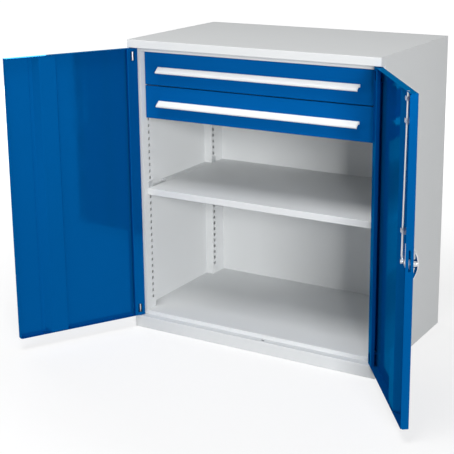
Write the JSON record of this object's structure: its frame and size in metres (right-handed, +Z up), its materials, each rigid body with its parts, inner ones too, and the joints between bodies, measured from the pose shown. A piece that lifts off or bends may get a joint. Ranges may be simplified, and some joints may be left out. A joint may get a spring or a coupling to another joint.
{
  "type": "tool cabinet with doors",
  "caption": "Steel tool cabinet with two hinged doors, two drawers on telescopic slides, an adjustable shelf and a turn-handle rod lock.",
  "frame": {"origin": "on the floor, at the middle of the body's footprint", "axes": "+X to the right as seen from the front, +Y from front to back, +Z up; the doors are drawn open and the drawers shut"},
  "size_m": [1.515, 1.0133, 1.11],
  "materials": {
    "body_paint": "light grey powder coat, semi-gloss",
    "door_paint": "gentian blue powder coat, glossy",
    "drawer_paint": "gentian blue powder coat, semi-gloss",
    "white_paint": "white powder coat",
    "label_card": "plain white card under clear film",
    "zinc": "bright zinc plating",
    "chrome": "bright chrome",
    "plastic": "black acetal"
  },
  "bodies": {
    "cabinet": {"side_panel_left": "body_paint", "side_panel_right": "body_paint", "front_upright_left": "body_paint", "front_upright_right": "body_paint", "rear_upright_left": "body_paint", "rear_upright_right": "body_paint", "side_ledges": "body_paint", "rear_panel": "body_paint", "top_panel": "body_paint", "top_rail": "body_paint", "plinth": "body_paint", "base_frame": "body_paint", "floor_pan": "body_paint", "hinge_bushes": "plastic", "shelf": "body_paint", "shelf_clips": "zinc", "upper_slide_cabinet_rails": "zinc", "lower_slide_cabinet_rails": "zinc"},
    "left_door": {"left_door_leaf": "door_paint", "left_door_stiffener": "door_paint", "left_hinge_pins": "zinc", "left_pin_brackets": "door_paint"},
    "right_door": {"right_door_leaf": "door_paint", "right_door_stiffener": "door_paint", "right_hinge_pins": "zinc", "right_pin_brackets": "door_paint", "lock_barrel": "zinc", "lock_nut": "zinc", "rod_guides": "zinc"},
    "lock_handle": {"turn_handle": "chrome", "lock_spindle": "zinc", "lock_cam": "zinc", "cam_screw": "zinc", "rod_clip": "zinc"},
    "key_cylinder": {"key_plug": "zinc"},
    "lock_rod": {"lock_rod": "zinc"},
    "upper_drawer": {"upper_drawer_front": "drawer_paint", "upper_drawer_tray": "body_paint", "upper_drawer_handle": "white_paint", "upper_drawer_label": "label_card", "upper_slide_drawer_rails": "zinc"},
    "upper_slide_middle": {"upper_slide_middle_rails": "zinc"},
    "lower_drawer": {"lower_drawer_front": "drawer_paint", "lower_drawer_tray": "body_paint", "lower_drawer_handle": "white_paint", "lower_drawer_label": "label_card", "lower_slide_drawer_rails": "zinc"},
    "lower_slide_middle": {"lower_slide_middle_rails": "zinc"}
  },
  "joints": [
    {"name": "left_door_hinge", "type": "hinge", "parent": "cabinet", "child": "left_door", "pos_m": [-0.486, -0.2875, 0], "axis": [0, 0, -1], "range_deg": [-120, 60]},
    {"name": "right_door_hinge", "type": "hinge", "parent": "cabinet", "child": "right_door", "pos_m": [0.486, -0.2875, 0], "axis": [0, 0, 1], "range_deg": [-125.5, 54.5]},
    {"name": "upper_drawer_slide", "type": "slide", "parent": "cabinet", "child": "upper_drawer", "axis": [0, -1, 0], "range_m": [0, 0.45]},
    {"name": "upper_middle_slide", "type": "slide", "parent": "cabinet", "child": "upper_slide_middle", "axis": [0, -1, 0], "range_m": [0, 0.225]},
    {"name": "lower_drawer_slide", "type": "slide", "parent": "cabinet", "child": "lower_drawer", "axis": [0, -1, 0], "range_m": [0, 0.45]},
    {"name": "lower_middle_slide", "type": "slide", "parent": "cabinet", "child": "lower_slide_middle", "axis": [0, -1, 0], "range_m": [0, 0.225]},
    {"name": "handle_turn", "type": "hinge", "parent": "right_door", "child": "lock_handle", "pos_m": [0.74849, -0.63397, 0.559], "axis": [-0.8141, -0.5807, 0], "range_deg": [-90, 0]},
    {"name": "rod_pivot", "type": "hinge", "parent": "lock_handle", "child": "lock_rod", "pos_m": [0.72066, -0.62681, 0.559], "axis": [-0.8141, -0.5807, 0], "range_deg": [0, 92.5]},
    {"name": "key_turn", "type": "hinge", "parent": "lock_handle", "child": "key_cylinder", "pos_m": [0.74849, -0.63397, 0.559], "axis": [-0.8141, -0.5807, 0], "range_deg": [0, 90]}
  ],
  "couplings": [
    {"joint": "upper_middle_slide", "follows": "upper_drawer_slide", "ratio": 0.5},
    {"joint": "lower_middle_slide", "follows": "lower_drawer_slide", "ratio": 0.5},
    {"joint": "rod_pivot", "follows": "handle_turn", "ratio": -1.0268}
  ]
}
